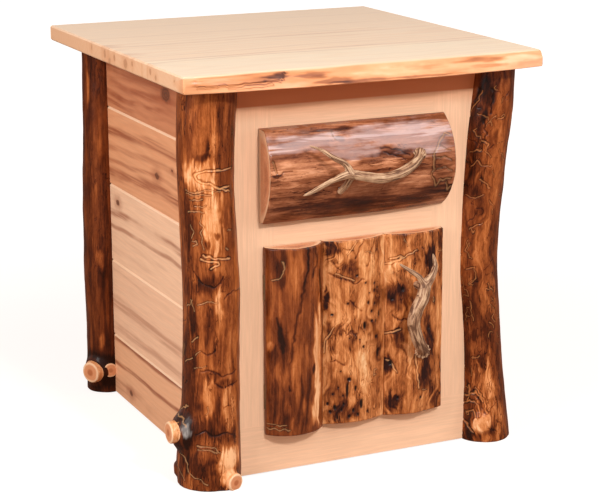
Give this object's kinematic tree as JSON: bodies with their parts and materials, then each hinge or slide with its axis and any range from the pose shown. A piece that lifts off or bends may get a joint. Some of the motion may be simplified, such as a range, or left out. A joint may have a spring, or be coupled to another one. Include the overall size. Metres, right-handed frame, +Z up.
{
  "type": "nightstand",
  "caption": "Rustic log nightstand with a board top that keeps its natural front edge, log corner posts, board sides, and a half-log drawer and door with antler pulls.",
  "frame": {"origin": "middle of the object's box, on the floor", "axes": "+Z up; the front with the drawer and the door faces -Y; -X is the left side seen from the front, where the door is hinged"},
  "size_m": [0.638, 0.666, 0.66],
  "materials": {
    "top_pine": "clear satin lacquer on pale pine",
    "post_log": "peeled log, dark stain, gloss lacquer",
    "side_pine": "clear satin lacquer on knotty pine",
    "frame_pine": "clear satin lacquer on pale pine",
    "inner_pine": "bare sawn pine",
    "back_panel_pine": "thin plywood, clear lacquer",
    "drawer_log": "peeled half log, gloss lacquer",
    "door_log": "peeled half log, gloss lacquer",
    "antler": "shed antler, bare",
    "drawer_box_wood": "sanded birch, clear lacquer",
    "slide_steel": "zinc-plated steel",
    "hinge_steel": "antique-plated steel",
    "catch_plastic": "brown plastic",
    "screw_steel": "zinc-plated steel"
  },
  "bodies": {
    "cabinet": {"top_board_front": "top_pine", "top_board_second": "top_pine", "top_board_third": "top_pine", "top_board_fourth": "top_pine", "top_board_back": "top_pine", "post_front_left": "post_log", "post_front_right": "post_log", "post_back_left": "post_log", "post_back_right": "post_log", "side_board_left_1": "side_pine", "side_board_left_2": "side_pine", "side_board_left_3": "side_pine", "side_board_left_4": "side_pine", "side_board_left_5": "side_pine", "side_board_right_1": "side_pine", "side_board_right_2": "side_pine", "side_board_right_3": "side_pine", "side_board_right_4": "side_pine", "side_board_right_5": "side_pine", "stile_left": "frame_pine", "stile_right": "frame_pine", "rail_top": "frame_pine", "rail_middle": "frame_pine", "rail_bottom": "frame_pine", "back_rails": "inner_pine", "cabinet_floor": "inner_pine", "floor_cleats": "inner_pine", "top_cleats": "inner_pine", "slide_mounting_rails": "inner_pine", "back_panel": "back_panel_pine", "slide_outer_left": "slide_steel", "slide_outer_right": "slide_steel", "hinge_frame_leaves": "hinge_steel", "hinge_pins": "hinge_steel", "catch_magnet": "catch_plastic", "top_screws": "screw_steel", "post_lag_screws": "screw_steel"},
    "slide_middles": {"slide_middle_left": "slide_steel", "slide_middle_right": "slide_steel"},
    "drawer": {"drawer_log_front": "drawer_log", "drawer_box_front": "drawer_box_wood", "drawer_side_left": "drawer_box_wood", "drawer_side_right": "drawer_box_wood", "drawer_back": "drawer_box_wood", "drawer_bottom": "drawer_box_wood", "drawer_pull": "antler", "drawer_pull_screws": "screw_steel", "drawer_front_screws": "screw_steel", "slide_inner_left": "slide_steel", "slide_inner_right": "slide_steel"},
    "door": {"door_log_left": "door_log", "door_log_middle": "door_log", "door_log_right": "door_log", "door_batten_low": "inner_pine", "door_batten_high": "inner_pine", "door_pull": "antler", "door_pull_screws": "screw_steel", "hinge_door_leaves": "hinge_steel", "catch_strike": "hinge_steel", "batten_screws": "screw_steel"}
  },
  "joints": [
    {"name": "drawer_slide", "type": "slide", "parent": "cabinet", "child": "drawer", "axis": [0, -1, 0], "range_m": [0, 0.43]},
    {"name": "slide_middle_travel", "type": "slide", "parent": "cabinet", "child": "slide_middles", "axis": [0, -1, 0], "range_m": [0, 0.215]},
    {"name": "door_hinge", "type": "hinge", "parent": "cabinet", "child": "door", "pos_m": [-0.157, -0.2482, 0.22], "axis": [0, 0, -1], "range_deg": [0, 90]}
  ],
  "couplings": [
    {"joint": "slide_middle_travel", "follows": "drawer_slide", "ratio": 0.5}
  ]
}
